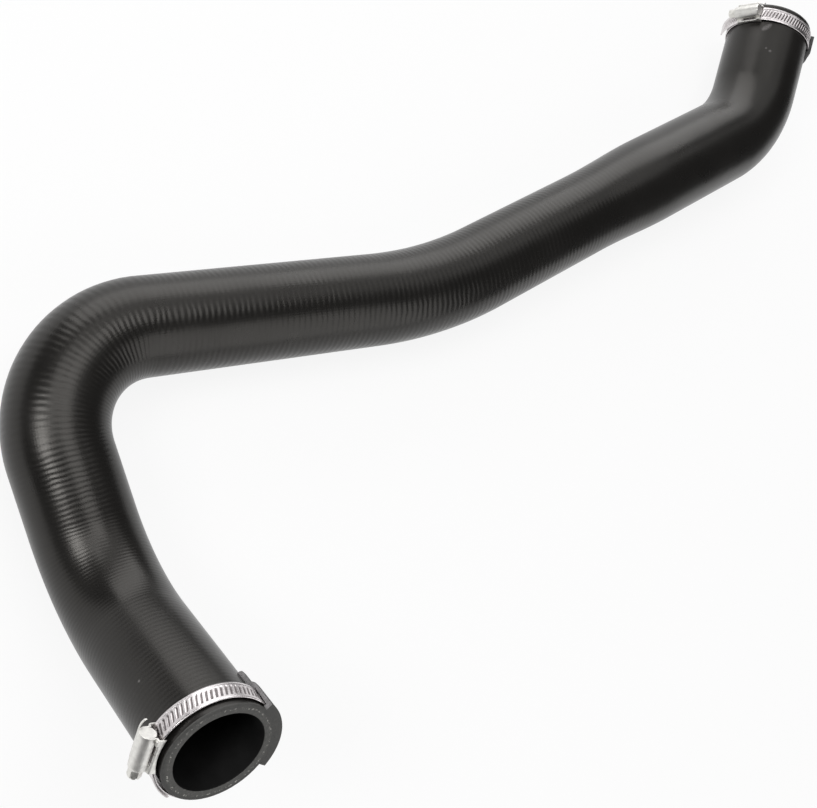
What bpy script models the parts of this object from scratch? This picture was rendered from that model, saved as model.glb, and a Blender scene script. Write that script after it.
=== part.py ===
"""Charge air hose with a worm-drive clamp and a rubber keeper on each end.

Metres, Z up. The hose lies on the table as it comes to rest, with its lower end bent up.
"""
import math

import bmesh
import bpy
from mathutils import Matrix, Vector

# Hose sections
LOWER_BORE = 0.053
UPPER_BORE = 0.059
WALL = 0.0065
WIDENING_OFFSET = 0.117
WIDENING_LENGTH = 0.080

# Hose route: straight lengths, bend radii and turns, from the lower end to the upper end
LOWER_STRAIGHT = 0.098
LOWER_BEND_RADIUS = 0.100
LOWER_DIP = 49.0
FOOT_STRAIGHT = 0.041
ELBOW_RADIUS = 0.067
ELBOW_TURN = -97.0
MIDDLE_STRAIGHT = 0.172
SWEEP_RADIUS = 0.330
SWEEP_TURN = 17.5
LONG_STRAIGHT = 0.294
UPPER_BEND_RADIUS = 0.095
UPPER_BEND_TURN = 43.0
UPPER_CLIMB = 7.5
UPPER_STRAIGHT = 0.0675
FIRST_HEADING = 90.0
WIDENING_LEG = 3

# Fineness of the hose mesh
DEGREES_PER_RING = 7.5
WIDENING_RINGS = 8
BEVEL_RESOLUTION = 14

# Clamp band, one strip that overlaps itself under the screw
BAND_WIDTH = 0.012
BAND_THICKNESS = 0.0008
SEAT_GAP = 0.0003
BAND_STEP = 5.0
OVERLAP_RAMP = 30.0
TAIL_ANGLE = 61.0

# Clamp housing, pressed from sheet over the band and the worm
HOUSING_LENGTH = 0.022
HOUSING_SHEET = 0.0009
HOUSING_ARC_STEPS = 12
SKIRT_REACH = 0.003
END_WALL = 0.0009
END_WALL_INSET = 0.0002

# Clamp screw
WORM_RADIUS = 0.00395
NECK_RADIUS = 0.0025
COLLAR_RADIUS = 0.0043
COLLAR_THICKNESS = 0.0009
HEX_ACROSS_FLATS = 0.007
HEX_HEIGHT = 0.0052
SLOT_WIDTH = 0.0012
SLOT_DEPTH = 0.0014
NOSE_LENGTH = 0.0009
RUNNING_GAP = 0.0003
TURNED_STEPS = 24

# Keeper, a rubber loop bonded to the hose that the band passes under
KEEPER_THICKNESS = 0.0043
LOWER_KEEPER_LENGTH = 0.030
UPPER_KEEPER_LENGTH = 0.024
KEEPER_BLOCK_LENGTH = 0.0175
KEEPER_START = 56.0
KEEPER_SPAN = 77.0
KEEPER_STEPS = 13
KEEPER_SHOULDER = 0.0035
KEEPER_TAIL_THICKNESS = 0.0026
KEEPER_TIP_THICKNESS = 0.0016
KEEPER_TIP_LENGTH = 0.002
TUNNEL_CLEARANCE = 0.0003
TUNNEL_STEPS = 90
KEEPER_ROUNDING = 0.0005

# Where each clamp sits: its housing's angle from the upward side, the distance of its middle from
# the mouth, how far it has slipped out of square, and how its tail stands off
LOWER_HOUSING_ANGLE = -71.0
UPPER_HOUSING_ANGLE = 68.0
LOWER_SETBACK = 0.0095
UPPER_SETBACK = 0.0102
LOWER_TILT = -4.4
UPPER_TILT = -2.0
LOWER_TAIL_LIFT = 0.001
UPPER_TAIL_LIFT = 0.0035

# Mesh settings: weld distance, the edge angle that is rounded, and how far cutters reach past a part
WELD_DISTANCE = 0.00001
SHARP_ANGLE = 50.0
OVERREACH = 2.0
SADDLE_STEPS = 72
ROUNDING_SEGMENTS = 2

RUBBER_COLOUR = (0.020, 0.020, 0.021, 1.0)
KEEPER_COLOUR = (0.026, 0.026, 0.027, 1.0)
BAND_COLOUR = (0.62, 0.61, 0.60, 1.0)
HOUSING_COLOUR = (0.66, 0.65, 0.63, 1.0)
SCREW_COLOUR = (0.72, 0.71, 0.68, 1.0)
HOSE_ROUGHNESS = 0.5
KEEPER_ROUGHNESS = 0.6
BAND_ROUGHNESS = 0.35
HOUSING_ROUGHNESS = 0.4
SCREW_ROUGHNESS = 0.35

# Sizes that follow from the ones above
LOWER_RADIUS = LOWER_BORE / 2 + WALL
UPPER_RADIUS = UPPER_BORE / 2 + WALL
SWEEP_LENGTH = SWEEP_RADIUS * math.radians(SWEEP_TURN)
TABLE_RUN = SWEEP_LENGTH / 2 + WIDENING_OFFSET + WIDENING_LENGTH
TABLE_CLIMB = math.degrees(math.asin((UPPER_RADIUS - LOWER_RADIUS) / TABLE_RUN))
LAYER_PITCH = BAND_THICKNESS + SEAT_GAP
STRIP_TOP = LAYER_PITCH + BAND_THICKNESS
SCREW_HEIGHT = STRIP_TOP + RUNNING_GAP + WORM_RADIUS
BARREL_RADIUS = WORM_RADIUS + RUNNING_GAP + HOUSING_SHEET / 2
SHOULDER_HEIGHT = STRIP_TOP + SEAT_GAP + HOUSING_SHEET / 2
SKIRT_HALF_WIDTH = BAND_WIDTH / 2 + SEAT_GAP + HOUSING_SHEET / 2
WALL_INNER = HOUSING_LENGTH / 2 - END_WALL_INSET - END_WALL


def direction(heading, climb):
    """Unit vector at a heading in the table plane and a climb above it, both in degrees."""
    turn, lift = math.radians(heading), math.radians(climb)
    return Vector((math.cos(turn) * math.cos(lift), math.sin(turn) * math.cos(lift), math.sin(lift)))


def hose_legs():
    """Each leg's straight length and direction, and the radius of the bend that follows it."""
    elbow_heading = FIRST_HEADING + ELBOW_TURN
    long_heading = elbow_heading + SWEEP_TURN
    return (
        (LOWER_STRAIGHT, direction(FIRST_HEADING, -LOWER_DIP), LOWER_BEND_RADIUS),
        (FOOT_STRAIGHT, direction(FIRST_HEADING, 0), ELBOW_RADIUS),
        (MIDDLE_STRAIGHT, direction(elbow_heading, 0), SWEEP_RADIUS),
        (LONG_STRAIGHT, direction(long_heading, TABLE_CLIMB), UPPER_BEND_RADIUS),
        (UPPER_STRAIGHT, direction(long_heading + UPPER_BEND_TURN, UPPER_CLIMB), None),
    )


def widening_share(distance):
    """How far the hose has widened, from 0 to 1, at a distance past the start of the long leg."""
    share = min(max((distance - WIDENING_OFFSET) / WIDENING_LENGTH, 0.0), 1.0)
    return share * share * (3 - 2 * share)


def hose_stations():
    """Points of the centreline with the hose's outer radius at each."""
    stations = []
    point = Vector((0, 0, 0))
    radius = LOWER_RADIUS
    legs = hose_legs()
    for index, (length, heading, bend_radius) in enumerate(legs):
        stations.append((point.copy(), radius))
        if index == WIDENING_LEG:
            for ring in range(WIDENING_RINGS + 1):
                distance = WIDENING_OFFSET + WIDENING_LENGTH * ring / WIDENING_RINGS
                radius = LOWER_RADIUS + (UPPER_RADIUS - LOWER_RADIUS) * widening_share(distance)
                stations.append((point + heading * distance, radius))
        point = point + heading * length
        if bend_radius is None:
            stations.append((point.copy(), radius))
            break
        following = legs[index + 1][1]
        turn = heading.angle(following)
        inward = (following - heading * heading.dot(following)).normalized()
        rings = max(2, math.ceil(math.degrees(turn) / DEGREES_PER_RING))
        centre = point + inward * bend_radius
        for ring in range(rings):
            angle = turn * ring / rings
            offset = heading * math.sin(angle) - inward * math.cos(angle)
            stations.append((centre + offset * bend_radius, radius))
        point = centre + (heading * math.sin(turn) - inward * math.cos(turn)) * bend_radius
    return stations


def end_frame(origin, inward):
    """Frame at a hose end: X up, Z along the hose away from its open mouth."""
    up = Vector((0, 0, 1))
    up = (up - inward * up.dot(inward)).normalized()
    side = inward.cross(up)
    rows = Matrix((up, side, inward)).transposed().to_4x4()
    return Matrix.Translation(origin) @ rows


def surface(name, colour, roughness, metallic):
    material = bpy.data.materials.new(name)
    material.use_nodes = True
    shader = material.node_tree.nodes["Principled BSDF"]
    shader.inputs["Base Color"].default_value = colour
    shader.inputs["Roughness"].default_value = roughness
    shader.inputs["Metallic"].default_value = metallic
    return material


def add_object(name, data, collection, parent=None, matrix=None):
    made = bpy.data.objects.new(name, data)
    collection.objects.link(made)
    made.parent = parent
    if matrix is not None:
        made.matrix_local = matrix
    return made


def mesh_of_curve(name, curve):
    """Mesh made from a curve's bevel or extrusion, with doubled points welded."""
    source = bpy.data.objects.new(name + "_curve", curve)
    bpy.context.scene.collection.objects.link(source)
    bpy.context.view_layer.update()
    graph = bpy.context.evaluated_depsgraph_get()
    mesh = bpy.data.meshes.new_from_object(source.evaluated_get(graph))
    bpy.data.objects.remove(source, do_unlink=True)
    welded = bmesh.new()
    welded.from_mesh(mesh)
    bmesh.ops.remove_doubles(welded, verts=welded.verts, dist=WELD_DISTANCE)
    bmesh.ops.recalc_face_normals(welded, faces=welded.faces)
    welded.to_mesh(mesh)
    welded.free()
    mesh.name = name
    return mesh


def ribbon(name, outline, width):
    """Open sheet: an outline in local X and Y, drawn out evenly to both sides along Z."""
    curve = bpy.data.curves.new(name, "CURVE")
    curve.dimensions = "3D"
    curve.extrude = width / 2
    spline = curve.splines.new("POLY")
    spline.points.add(len(outline) - 1)
    for point, (x, y) in zip(spline.points, outline):
        point.co = (x, y, 0, 1)
    return mesh_of_curve(name, curve)


def thicken(made, thickness, offset):
    solid = made.modifiers.new("thickness", "SOLIDIFY")
    solid.thickness = thickness
    solid.offset = offset
    solid.use_even_offset = True


def combine(made, other, operation):
    step = made.modifiers.new(other.name, "BOOLEAN")
    step.operation = operation
    step.solver = "EXACT"
    step.object = other


def tool_cylinder(name, radius, length, sides, tools, parent, matrix):
    """Solid cylinder along its own Z that a part is joined with or cut by."""
    shape = bmesh.new()
    bmesh.ops.create_cone(
        shape, cap_ends=True, segments=sides, radius1=radius, radius2=radius, depth=length
    )
    mesh = bpy.data.meshes.new(name)
    shape.to_mesh(mesh)
    shape.free()
    return add_tool(name, mesh, tools, parent, matrix)


def tool_box(name, size, tools, parent, matrix):
    shape = bmesh.new()
    bmesh.ops.create_cube(shape, size=1.0, matrix=Matrix.Diagonal((*size, 1)))
    mesh = bpy.data.meshes.new(name)
    shape.to_mesh(mesh)
    shape.free()
    return add_tool(name, mesh, tools, parent, matrix)


def add_tool(name, mesh, tools, parent, matrix):
    made = add_object(name, mesh, tools, parent, matrix)
    made.hide_render = True
    made.display_type = "WIRE"
    return made


def build_hose(parts, root, rubber):
    stations = hose_stations()
    curve = bpy.data.curves.new("hose", "CURVE")
    curve.dimensions = "3D"
    curve.bevel_depth = LOWER_RADIUS
    curve.bevel_resolution = BEVEL_RESOLUTION
    spline = curve.splines.new("POLY")
    spline.points.add(len(stations) - 1)
    for point, (place, radius) in zip(spline.points, stations):
        point.co = (*place, 1)
        point.radius = radius / LOWER_RADIUS
    hose = add_object("hose", mesh_of_curve("hose", curve), parts, root)
    hose.data.materials.clear()
    hose.data.materials.append(rubber)
    thicken(hose, WALL, -1)
    return stations


def clamp_radius(hose_radius, tilt):
    """Inner radius of a clamp that clears the hose although it has slipped out of square."""
    lean = math.radians(abs(tilt))
    climb = (SKIRT_HALF_WIDTH + HOUSING_SHEET / 2) * math.sin(lean)
    return (hose_radius + SEAT_GAP + climb) / math.cos(lean)


def band_outline(inner_radius, tail_lift):
    """One turn on the hose, a ramp up over its start, the pass through the housing and the tail."""
    layer = inner_radius + BAND_THICKNESS / 2
    half_angle = math.degrees(math.asin(HOUSING_LENGTH / 2 / (inner_radius + SCREW_HEIGHT)))
    first, last = -half_angle, 360 + TAIL_ANGLE
    ramp_end = 360 - half_angle - BAND_STEP
    steps = math.ceil((last - first) / BAND_STEP)
    outline = []
    for step in range(steps + 1):
        angle = first + (last - first) * step / steps
        climbed = min(max((angle - ramp_end + OVERLAP_RAMP) / OVERLAP_RAMP, 0.0), 1.0)
        lifted = max((angle - 360 - half_angle) / (TAIL_ANGLE - half_angle), 0.0)
        radius = layer + LAYER_PITCH * climbed + tail_lift * lifted * lifted
        turn = math.radians(-angle)
        outline.append((radius * math.cos(turn), radius * math.sin(turn)))
    return outline


def build_band(name, parts, clamp, inner_radius, tail_lift, steel):
    mesh = ribbon(name, band_outline(inner_radius, tail_lift), BAND_WIDTH)
    band = add_object(name, mesh, parts, clamp)
    band.data.materials.append(steel)
    thicken(band, BAND_THICKNESS, 0)


def housing_outline(inner_radius):
    """Skirt, shoulder, barrel, shoulder and skirt, across the band: height, then width."""
    foot = inner_radius - SKIRT_REACH
    shoulder = inner_radius + SHOULDER_HEIGHT
    axis = inner_radius + SCREW_HEIGHT
    outline = [(foot, -SKIRT_HALF_WIDTH), (shoulder, -SKIRT_HALF_WIDTH), (shoulder, -BARREL_RADIUS)]
    for step in range(HOUSING_ARC_STEPS + 1):
        angle = math.pi * step / HOUSING_ARC_STEPS
        outline.append((axis + BARREL_RADIUS * math.sin(angle), -BARREL_RADIUS * math.cos(angle)))
    outline += [(shoulder, BARREL_RADIUS), (shoulder, SKIRT_HALF_WIDTH), (foot, SKIRT_HALF_WIDTH)]
    return outline


def build_housing(name, parts, tools, clamp, inner_radius, steel):
    across = Matrix.Rotation(math.pi / 2, 4, "X")
    mesh = ribbon(name, housing_outline(inner_radius), HOUSING_LENGTH)
    housing = add_object(name, mesh, parts, clamp, across)
    housing.data.materials.append(steel)
    thicken(housing, HOUSING_SHEET, 0)
    axis = inner_radius + SCREW_HEIGHT
    for label, side in (("head", -1), ("nose", 1)):
        place = Matrix.Translation((axis, side * (WALL_INNER + END_WALL / 2), 0)) @ across
        wall = tool_cylinder(
            f"{name}_{label}_wall", BARREL_RADIUS, END_WALL, TURNED_STEPS, tools, clamp, place
        )
        combine(housing, wall, "UNION")
    journal = tool_cylinder(
        name + "_journal", NECK_RADIUS + RUNNING_GAP, OVERREACH * HOUSING_LENGTH, TURNED_STEPS,
        tools, clamp, Matrix.Translation((axis, 0, 0)) @ across,
    )
    combine(housing, journal, "DIFFERENCE")
    saddle = tool_cylinder(
        name + "_saddle", inner_radius, OVERREACH * BAND_WIDTH, SADDLE_STEPS,
        tools, clamp, Matrix.Identity(4),
    )
    combine(housing, saddle, "DIFFERENCE")


def screw_profile():
    """Radius and height of the turned screw, from its nose to the collar under the head."""
    worm_half = WALL_INNER - RUNNING_GAP
    collar_start = HOUSING_LENGTH / 2 + RUNNING_GAP
    return (
        (0, -WALL_INNER - NOSE_LENGTH),
        (NECK_RADIUS, -WALL_INNER - NOSE_LENGTH),
        (NECK_RADIUS, -worm_half),
        (WORM_RADIUS, -worm_half),
        (WORM_RADIUS, worm_half),
        (NECK_RADIUS, worm_half),
        (NECK_RADIUS, collar_start),
        (COLLAR_RADIUS, collar_start),
        (COLLAR_RADIUS, collar_start + COLLAR_THICKNESS),
        (0, collar_start + COLLAR_THICKNESS),
    )


def build_screw(name, parts, tools, clamp, inner_radius, steel):
    """The screw turns in the housing about its own Z, which points out through the head."""
    place = Matrix.Translation((inner_radius + SCREW_HEIGHT, 0, 0)) @ Matrix.Rotation(math.pi / 2, 4, "X")
    axis = add_object(name + "_axis", None, parts, clamp, place)
    mesh = bpy.data.meshes.new(name)
    profile = screw_profile()
    edges = [(index, index + 1) for index in range(len(profile) - 1)]
    mesh.from_pydata([(radius, 0, height) for radius, height in profile], edges, [])
    screw = add_object(name, mesh, parts, axis)
    screw.data.materials.append(steel)
    turned = screw.modifiers.new("turned", "SCREW")
    turned.axis = "Z"
    turned.steps = TURNED_STEPS
    turned.render_steps = TURNED_STEPS
    turned.use_merge_vertices = True
    turned.merge_threshold = WELD_DISTANCE
    turned.use_normal_calculate = True
    head_base = HOUSING_LENGTH / 2 + RUNNING_GAP + COLLAR_THICKNESS / 2
    head_top = head_base + COLLAR_THICKNESS / 2 + HEX_HEIGHT
    hexagon = tool_cylinder(
        name + "_hexagon", HEX_ACROSS_FLATS / math.sqrt(3), head_top - head_base, 6,
        tools, axis, Matrix.Translation((0, 0, (head_base + head_top) / 2)),
    )
    combine(screw, hexagon, "UNION")
    slot = tool_box(
        name + "_slot", (SLOT_WIDTH, OVERREACH * HEX_ACROSS_FLATS, 2 * SLOT_DEPTH),
        tools, axis, Matrix.Translation((0, 0, head_top)),
    )
    combine(screw, slot, "DIFFERENCE")


def keeper_profile(hose_radius, length):
    """Outline along the hose: distance from the mouth, then radius."""
    seat = hose_radius + SEAT_GAP
    top = hose_radius + KEEPER_THICKNESS
    tail = hose_radius + KEEPER_TAIL_THICKNESS
    return (
        (0, seat),
        (0, top),
        (KEEPER_BLOCK_LENGTH, top),
        (KEEPER_BLOCK_LENGTH + KEEPER_SHOULDER, tail),
        (length - KEEPER_TIP_LENGTH, tail),
        (length, hose_radius + KEEPER_TIP_THICKNESS),
        (length, seat),
    )


def build_keeper(name, parts, tools, mouth, clamp, inner_radius, hose_radius, length, side, rubber):
    """Spun from its profile, on the side of the hose that the sign of side gives."""
    shape = bmesh.new()
    turn = Matrix.Rotation(math.radians(side * KEEPER_START), 4, "Z")
    corners = [shape.verts.new(turn @ Vector((radius, 0, place)))
               for place, radius in keeper_profile(hose_radius, length)]
    face = shape.faces.new(corners)
    bmesh.ops.spin(
        shape, geom=[face, *face.edges, *face.verts], cent=(0, 0, 0), axis=(0, 0, 1),
        dvec=(0, 0, 0), angle=math.radians(side * KEEPER_SPAN), steps=KEEPER_STEPS, use_duplicate=False,
    )
    bmesh.ops.recalc_face_normals(shape, faces=shape.faces)
    mesh = bpy.data.meshes.new(name)
    shape.to_mesh(mesh)
    shape.free()
    keeper = add_object(name, mesh, parts, mouth)
    keeper.data.materials.append(rubber)
    rounded = keeper.modifiers.new("rounded", "BEVEL")
    rounded.width = KEEPER_ROUNDING
    rounded.segments = ROUNDING_SEGMENTS
    rounded.limit_method = "ANGLE"
    rounded.angle_limit = math.radians(SHARP_ANGLE)
    tunnel = tool_cylinder(
        name + "_tunnel", inner_radius + BAND_THICKNESS + TUNNEL_CLEARANCE,
        BAND_WIDTH + 2 * TUNNEL_CLEARANCE, TUNNEL_STEPS, tools, clamp, Matrix.Identity(4),
    )
    combine(keeper, tunnel, "DIFFERENCE")


def build_end(label, parts, tools, root, frame, hose_radius, place, surfaces):
    """Clamp and keeper of one hose end. The screw's head points away from the keeper's near side."""
    housing_angle, setback, tilt, tail_lift, keeper_length = place
    rubber, band_steel, housing_steel, screw_steel = surfaces
    mouth = add_object(label + "_mouth", None, parts, root, frame)
    head_side = math.copysign(1, housing_angle)
    facing = Matrix.Rotation(math.radians(housing_angle), 4, "Z")
    facing = facing @ Matrix.Rotation(math.radians(tilt), 4, "Y")
    if head_side > 0:
        facing = facing @ Matrix.Rotation(math.pi, 4, "X")
    clamp = add_object(label + "_clamp", None, parts, mouth, Matrix.Translation((0, 0, setback)) @ facing)
    inner_radius = clamp_radius(hose_radius, tilt)
    build_band(label + "_clamp_band", parts, clamp, inner_radius, tail_lift, band_steel)
    build_housing(label + "_clamp_housing", parts, tools, clamp, inner_radius, housing_steel)
    build_screw(label + "_clamp_screw", parts, tools, clamp, inner_radius, screw_steel)
    build_keeper(
        label + "_keeper", parts, tools, mouth, clamp, inner_radius, hose_radius,
        keeper_length, -head_side, rubber,
    )


def stand_on_table(parts, root):
    """Move the root so that the part's box is centred on the origin and stands on Z = 0."""
    bpy.context.view_layer.update()
    graph = bpy.context.evaluated_depsgraph_get()
    low = Vector((math.inf, math.inf, math.inf))
    high = -low
    for made in parts.objects:
        if made.type != "MESH":
            continue
        shown = made.evaluated_get(graph)
        for vertex in shown.to_mesh().vertices:
            place = made.matrix_world @ vertex.co
            low = Vector(map(min, low, place))
            high = Vector(map(max, high, place))
        shown.to_mesh_clear()
    root.location = (-(low.x + high.x) / 2, -(low.y + high.y) / 2, -low.z)
    bpy.context.view_layer.update()


def main():
    for old in list(bpy.data.objects):
        bpy.data.objects.remove(old, do_unlink=True)
    parts = bpy.data.collections.new("charge_air_hose")
    tools = bpy.data.collections.new("cutters")
    bpy.context.scene.collection.children.link(parts)
    bpy.context.scene.collection.children.link(tools)
    root = add_object("table_point", None, parts)

    stations = build_hose(parts, root, surface("hose_rubber", RUBBER_COLOUR, HOSE_ROUGHNESS, 0.0))
    surfaces = (
        surface("keeper_rubber", KEEPER_COLOUR, KEEPER_ROUGHNESS, 0.0),
        surface("band_steel", BAND_COLOUR, BAND_ROUGHNESS, 1.0),
        surface("housing_steel", HOUSING_COLOUR, HOUSING_ROUGHNESS, 1.0),
        surface("screw_steel", SCREW_COLOUR, SCREW_ROUGHNESS, 1.0),
    )
    legs = hose_legs()
    lower = end_frame(stations[0][0], legs[0][1])
    upper = end_frame(stations[-1][0], -legs[-1][1])
    build_end(
        "lower", parts, tools, root, lower, LOWER_RADIUS,
        (LOWER_HOUSING_ANGLE, LOWER_SETBACK, LOWER_TILT, LOWER_TAIL_LIFT, LOWER_KEEPER_LENGTH), surfaces,
    )
    build_end(
        "upper", parts, tools, root, upper, UPPER_RADIUS,
        (UPPER_HOUSING_ANGLE, UPPER_SETBACK, UPPER_TILT, UPPER_TAIL_LIFT, UPPER_KEEPER_LENGTH), surfaces,
    )
    stand_on_table(parts, root)


main()
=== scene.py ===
import math

import bmesh
import bpy
from mathutils import Matrix, Vector


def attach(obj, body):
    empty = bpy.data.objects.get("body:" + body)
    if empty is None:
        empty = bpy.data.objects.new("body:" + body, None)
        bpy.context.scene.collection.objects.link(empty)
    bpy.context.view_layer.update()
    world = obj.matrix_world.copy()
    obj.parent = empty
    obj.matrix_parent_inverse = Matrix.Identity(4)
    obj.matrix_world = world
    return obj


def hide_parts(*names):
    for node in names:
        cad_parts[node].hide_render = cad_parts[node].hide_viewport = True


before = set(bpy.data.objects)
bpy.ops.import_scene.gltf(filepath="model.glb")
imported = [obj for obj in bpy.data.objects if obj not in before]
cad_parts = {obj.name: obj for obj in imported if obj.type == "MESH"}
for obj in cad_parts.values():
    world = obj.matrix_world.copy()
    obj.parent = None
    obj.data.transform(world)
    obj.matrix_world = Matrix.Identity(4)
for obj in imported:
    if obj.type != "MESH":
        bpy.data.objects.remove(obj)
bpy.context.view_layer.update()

# White studio table, six softboxes and the camera.
# The hose lies on a seamless white table and is photographed from well above its lower end.
# The brightest softbox stands on the camera's side, with wider, dimmer ones overhead and around.
FLOOR_SIZE = 14.0
FLOOR_COLOUR = (0.86, 0.86, 0.86, 1.0)
FLOOR_WHITENING = 0.88
ROOM_COLOUR = (0.06, 0.06, 0.06, 1.0)
SOFTBOXES = (
    # name, azimuth and elevation in degrees, distance, width, height, brightness
    ("key_softbox", 164.0, 40.0, 2.2, 0.74, 0.70, 9.5),
    ("overhead_softbox", 100.0, 80.0, 2.2, 1.10, 1.00, 3.1),
    ("high_softbox", 138.0, 58.0, 2.2, 1.40, 0.70, 2.4),
    ("window_softbox", 73.0, 20.0, 2.2, 2.80, 1.45, 2.5),
    ("far_softbox", 56.0, 54.0, 2.2, 2.30, 1.10, 0.8),
    ("front_softbox", 283.0, 32.0, 2.2, 1.60, 2.30, 1.6),
)
CAMERA_PLACE = Vector((-0.568173, -0.055099, 0.770751))
CAMERA_AIM = Vector((-0.092225, -0.036886, 0.0))
CAMERA_ROLL = 69.533
SENSOR_WIDTH = 36.0
LENS = 53.46


def compass(azimuth, elevation):
    """Unit vector towards an azimuth, counted from +X, and an elevation, in degrees."""
    turn, lift = math.radians(azimuth), math.radians(elevation)
    return Vector((math.cos(turn) * math.cos(lift), math.sin(turn) * math.cos(lift), math.sin(lift)))


def mesh_piece(name, points, faces, material=None):
    mesh = bpy.data.meshes.new(name)
    mesh.from_pydata([tuple(point) for point in points], [], faces)
    piece = bpy.data.objects.new(name, mesh)
    bpy.context.scene.collection.objects.link(piece)
    if material is not None:
        mesh.materials.append(material)
    return piece


def new_finish(name):
    """Node material with its nodes, its links and its main shader."""
    finish = bpy.data.materials.new(name)
    finish.use_nodes = True
    return finish, finish.node_tree.nodes, finish.node_tree.links, finish.node_tree.nodes["Principled BSDF"]


def any_ray(nodes, links, first_kind, *other_kinds):
    """1 for the given kinds of ray, 0 for the light that falls on things."""
    path = nodes.new("ShaderNodeLightPath")
    seen = path.outputs[first_kind]
    for kind in other_kinds:
        either = nodes.new("ShaderNodeMath")
        either.operation = "MAXIMUM"
        links.new(seen, either.inputs[0])
        links.new(path.outputs[kind], either.inputs[1])
        seen = either.outputs[0]
    return seen


def mixed_colours(nodes, links, share, first, second):
    """Mix of two colours, each a constant or a socket. Its sockets 6, 7 and 2 are the colour ones."""
    node = nodes.new("ShaderNodeMix")
    node.data_type = "RGBA"
    links.new(share, node.inputs[0])
    for place, colour in ((6, first), (7, second)):
        if isinstance(colour, tuple):
            node.inputs[place].default_value = colour
        else:
            links.new(colour, node.inputs[place])
    return node.outputs[2]


half = FLOOR_SIZE / 2
white_table, nodes, links, shader = new_finish("white_table")
shader.inputs["Base Color"].default_value = FLOOR_COLOUR
shader.inputs["Roughness"].default_value = 0.9
shader.inputs["Specular IOR Level"].default_value = 0.1
glow = nodes.new("ShaderNodeEmission")
glow.inputs["Color"].default_value = (1, 1, 1, 1)
whiten = nodes.new("ShaderNodeMath")
whiten.operation = "MULTIPLY"
whiten.inputs[1].default_value = FLOOR_WHITENING
white_rays = any_ray(nodes, links, "Is Camera Ray", "Is Glossy Ray", "Is Transmission Ray")
links.new(white_rays, whiten.inputs[0])
blend = nodes.new("ShaderNodeMixShader")
links.new(whiten.outputs[0], blend.inputs[0])
links.new(shader.outputs[0], blend.inputs[1])
links.new(glow.outputs[0], blend.inputs[2])
links.new(blend.outputs[0], nodes["Material Output"].inputs["Surface"])
table_top = mesh_piece(
    "table_top", [(-half, -half, 0), (half, -half, 0), (half, half, 0), (-half, half, 0)],
    [(0, 1, 2, 3)], white_table,
)

world = bpy.data.worlds.new("white_studio")
world.use_nodes = True
bpy.context.scene.world = world
nodes, links = world.node_tree.nodes, world.node_tree.links
white_rays = any_ray(nodes, links, "Is Camera Ray", "Is Transmission Ray")
room = mixed_colours(nodes, links, white_rays, ROOM_COLOUR, (1, 1, 1, 1))
links.new(room, nodes["Background"].inputs["Color"])

for name, azimuth, elevation, distance, width, height, brightness in SOFTBOXES:
    lamp = bpy.data.lights.new(name, "AREA")
    lamp.shape = "RECTANGLE"
    lamp.size, lamp.size_y = width, height
    lamp.energy = math.pi * width * height * brightness
    softbox = bpy.data.objects.new(name, lamp)
    bpy.context.scene.collection.objects.link(softbox)
    towards = compass(azimuth, elevation)
    softbox.location = towards * distance
    softbox.rotation_euler = towards.to_track_quat("Z", "Y").to_euler()
    softbox.visible_camera = False

forward = (CAMERA_AIM - CAMERA_PLACE).normalized()
level = forward.cross(Vector((0, 0, 1))).normalized()
roll = math.radians(CAMERA_ROLL)
right = level * math.cos(roll) + level.cross(forward) * math.sin(roll)
view_axes = Matrix((right, right.cross(forward), -forward)).transposed().to_4x4()
camera_data = bpy.data.cameras.new("product_camera")
camera_data.sensor_width = SENSOR_WIDTH
camera_data.lens = LENS
camera = bpy.data.objects.new("product_camera", camera_data)
camera.matrix_world = Matrix.Translation(CAMERA_PLACE) @ view_axes
bpy.context.scene.collection.objects.link(camera)
bpy.context.scene.camera = camera
bpy.context.scene.view_settings.view_transform = "Standard"

# Hose: black rubber on cloth plies, cured in one piece on a bent mandrel.
# It is wrapped in tape while it cures, which leaves fine rings that fade out towards the wide end.
# It is cut off with a knife, slightly aslant at the lower end, and shows a grey, rough face there.
HOSE_START = Vector((-0.360019, -0.185262, 0.141356))
LOWER_RADIUS = 0.033
UPPER_RADIUS = 0.036
WALL = 0.0065
SWEEP_RADIUS = 0.330
SWEEP_TURN = 17.5
WIDENING_OFFSET = 0.117
WIDENING_LENGTH = 0.080
TABLE_RUN = SWEEP_RADIUS * math.radians(SWEEP_TURN) / 2 + WIDENING_OFFSET + WIDENING_LENGTH
TABLE_CLIMB = math.degrees(math.asin((UPPER_RADIUS - LOWER_RADIUS) / TABLE_RUN))
WIDENING_LEG = 3
HOSE_LEGS = (
    # straight length, heading and climb in degrees, radius of the bend that follows
    (0.098, 90.0, -49.0, 0.100),
    (0.041, 90.0, 0.0, 0.067),
    (0.172, -7.0, 0.0, SWEEP_RADIUS),
    (0.294, 10.5, TABLE_CLIMB, 0.095),
    (0.0675, 53.5, 7.5, None),
)
WRAP_PITCH_LOWER = 0.0030
WRAP_PITCH_MIDDLE = 0.0042
WRAP_PITCH_REACH = (0.15, 0.40)
WRAP_HEIGHT = 0.000016
WRAP_AT_MOUTH = 0.24
WRAP_CLEARS = (0.08, 0.36)
WRAP_FADES = (0.62, 0.84)
CLOTH_RIBS = 120
ROWS_PER_RING = 6
HOSE_SIDES = 56
BORE_STEP = 0.006
CARRIED_STEPS = 2400
CUT_HOLLOW = 0.00008
CUT_SLANT = 0.053
CUT_SLANT_REACH = 0.022
LIP_ROUNDING = 0.0009
KEEPER_START = 56.0
KEEPER_SPAN = 77.0


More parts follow.
